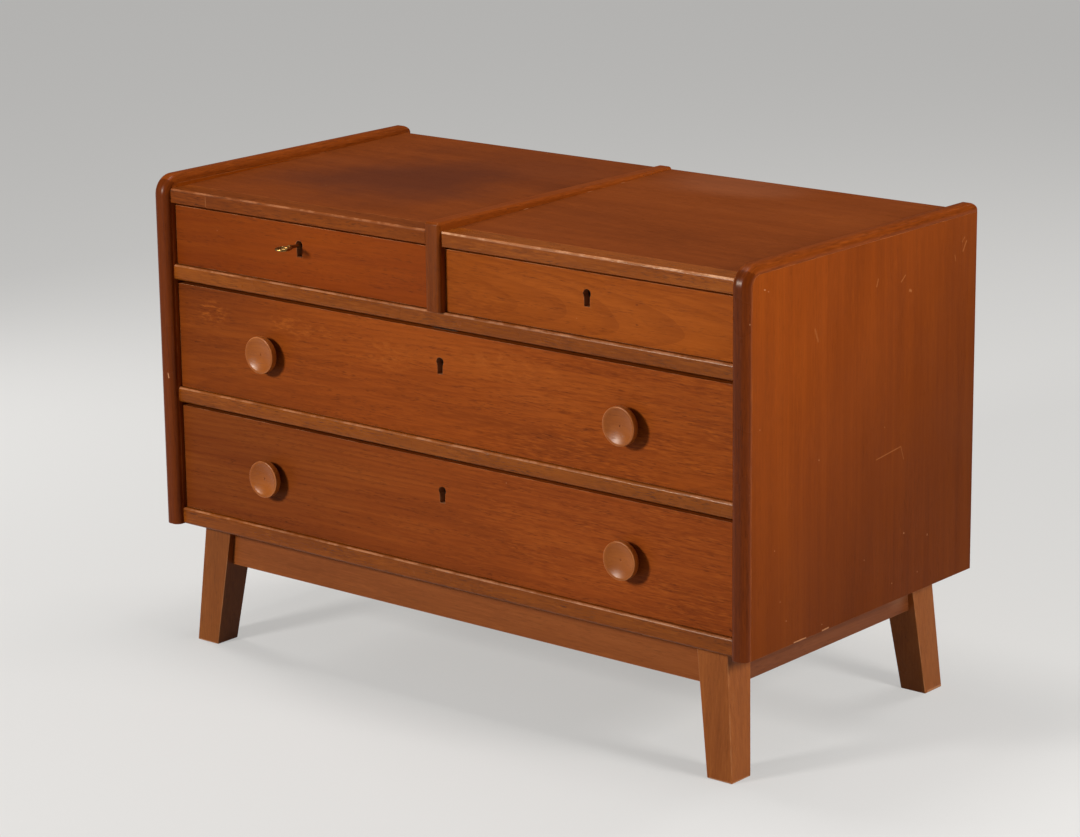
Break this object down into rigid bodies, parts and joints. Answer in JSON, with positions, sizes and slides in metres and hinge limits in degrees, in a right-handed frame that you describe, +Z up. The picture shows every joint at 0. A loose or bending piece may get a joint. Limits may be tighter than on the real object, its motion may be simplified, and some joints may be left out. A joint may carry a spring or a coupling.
{
  "type": "chest of drawers",
  "caption": "Low wooden chest of drawers on splayed tapered legs, with side panels and a divider standing above the tops, locks with a key, and turned knobs on the wide drawers.",
  "frame": {"origin": "on the floor, in the middle of the box round the whole chest, which the key's ring reaches at the front", "axes": "+X along the front to the right as seen from the front, +Y from the front to the back, +Z up"},
  "size_m": [0.9, 0.4695, 0.5935],
  "materials": {
    "teak": "veneered, satin lacquer",
    "solid_teak": "solid, satin lacquer",
    "base_teak": "solid, satin lacquer, worn",
    "knob_wood": "turned, satin lacquer",
    "beech": "planed, unfinished",
    "plywood": "sanded, unfinished",
    "brass": "worn, dull",
    "steel": "pressed sheet, dull"
  },
  "bodies": {
    "carcass": {"side_panel_left": "teak", "side_panel_right": "teak", "side_lipping_left": "solid_teak", "side_lipping_right": "solid_teak", "centre_divider": "teak", "divider_lipping": "solid_teak", "top_panel_left": "teak", "top_panel_right": "teak", "top_lipping_left": "solid_teak", "top_lipping_right": "solid_teak", "upper_rail": "solid_teak", "middle_rail": "solid_teak", "bottom_rail": "solid_teak", "dust_board": "beech", "case_bottom": "beech", "back_panel": "plywood", "drawer_runners": "beech", "drawer_stops": "beech", "front_apron": "base_teak", "back_apron": "base_teak", "side_apron_left": "base_teak", "side_apron_right": "base_teak", "leg_front_left": "base_teak", "leg_front_right": "base_teak", "leg_back_left": "base_teak", "leg_back_right": "base_teak", "glue_blocks": "beech"},
    "small_left_drawer": {"small_left_front": "teak", "small_left_side_l": "beech", "small_left_side_r": "beech", "small_left_back": "beech", "small_left_bottom": "plywood", "small_left_lock": "steel"},
    "small_left_bolt": {"small_left_bolt": "brass"},
    "small_right_drawer": {"small_right_front": "teak", "small_right_side_l": "beech", "small_right_side_r": "beech", "small_right_back": "beech", "small_right_bottom": "plywood", "small_right_lock": "steel"},
    "small_right_bolt": {"small_right_bolt": "brass"},
    "wide_upper_drawer": {"wide_upper_front": "teak", "wide_upper_side_l": "beech", "wide_upper_side_r": "beech", "wide_upper_back": "beech", "wide_upper_bottom": "plywood", "wide_upper_lock": "steel", "wide_upper_knob_l": "knob_wood", "wide_upper_knob_r": "knob_wood"},
    "wide_upper_bolt": {"wide_upper_bolt": "brass"},
    "wide_lower_drawer": {"wide_lower_front": "teak", "wide_lower_side_l": "beech", "wide_lower_side_r": "beech", "wide_lower_back": "beech", "wide_lower_bottom": "plywood", "wide_lower_lock": "steel", "wide_lower_knob_l": "knob_wood", "wide_lower_knob_r": "knob_wood"},
    "wide_lower_bolt": {"wide_lower_bolt": "brass"},
    "key": {"key": "brass"}
  },
  "joints": [
    {"name": "small_left_slide", "type": "slide", "parent": "carcass", "child": "small_left_drawer", "axis": [0, -1, 0], "range_m": [0, 0.3]},
    {"name": "small_right_slide", "type": "slide", "parent": "carcass", "child": "small_right_drawer", "axis": [0, -1, 0], "range_m": [0, 0.3]},
    {"name": "wide_upper_slide", "type": "slide", "parent": "carcass", "child": "wide_upper_drawer", "axis": [0, -1, 0], "range_m": [0, 0.3]},
    {"name": "wide_lower_slide", "type": "slide", "parent": "carcass", "child": "wide_lower_drawer", "axis": [0, -1, 0], "range_m": [0, 0.3]},
    {"name": "small_left_lock_bolt", "type": "slide", "parent": "small_left_drawer", "child": "small_left_bolt", "axis": [0, 0, 1], "range_m": [0, 0.007]},
    {"name": "small_right_lock_bolt", "type": "slide", "parent": "small_right_drawer", "child": "small_right_bolt", "axis": [0, 0, 1], "range_m": [0, 0.007]},
    {"name": "wide_upper_lock_bolt", "type": "slide", "parent": "wide_upper_drawer", "child": "wide_upper_bolt", "axis": [0, 0, 1], "range_m": [0, 0.01]},
    {"name": "wide_lower_lock_bolt", "type": "slide", "parent": "wide_lower_drawer", "child": "wide_lower_bolt", "axis": [0, 0, 1], "range_m": [0, 0.01]},
    {"name": "key_turn", "type": "hinge", "parent": "small_left_drawer", "child": "key", "pos_m": [-0.2195, -0.19775, 0.532], "axis": [0, -1, 0], "range_deg": [0, 90]}
  ],
  "couplings": [
    {"joint": "small_left_lock_bolt", "follows": "key_turn", "m_per_rad": 0.004456}
  ]
}
